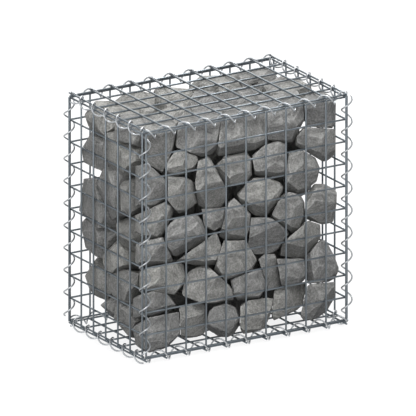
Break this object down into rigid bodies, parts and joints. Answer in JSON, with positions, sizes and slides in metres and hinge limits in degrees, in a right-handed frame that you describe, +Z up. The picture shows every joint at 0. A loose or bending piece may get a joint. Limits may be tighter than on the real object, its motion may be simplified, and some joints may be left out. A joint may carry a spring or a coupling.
{
  "type": "stone-filled wire gabion basket",
  "caption": "Box-shaped gabion of welded wire mesh, laced along its edges with wire spirals and filled with angular broken stone, used as a retaining or garden wall block.",
  "frame": {"origin": "on the ground under the middle of the basket", "axes": "+X along the long front, -Y out of the front, +Z up"},
  "size_m": [0.5367, 0.3282, 0.5286],
  "materials": {
    "mesh_wire": "dull zinc-aluminium coating on drawn steel wire",
    "spiral_wire": "brighter zinc coating on spring wire",
    "stone": "rough broken faces, matt"
  },
  "bodies": {
    "root": {"base_panel": "mesh_wire", "front_panel": "mesh_wire", "back_panel": "mesh_wire", "left_panel": "mesh_wire", "right_panel": "mesh_wire", "lid_panel": "mesh_wire", "stones_1": "stone", "stones_2": "stone", "stones_3": "stone", "stones_4": "stone", "stones_5": "stone", "stones_6": "stone", "stones_7": "stone", "spiral_front_bottom": "spiral_wire", "spiral_back_bottom": "spiral_wire", "spiral_left_bottom": "spiral_wire", "spiral_right_bottom": "spiral_wire", "spiral_front_left": "spiral_wire", "spiral_front_right": "spiral_wire", "spiral_back_left": "spiral_wire", "spiral_back_right": "spiral_wire", "spiral_front_top": "spiral_wire", "spiral_back_top": "spiral_wire", "spiral_left_top": "spiral_wire", "spiral_right_top": "spiral_wire"}
  },
  "joints": []
}
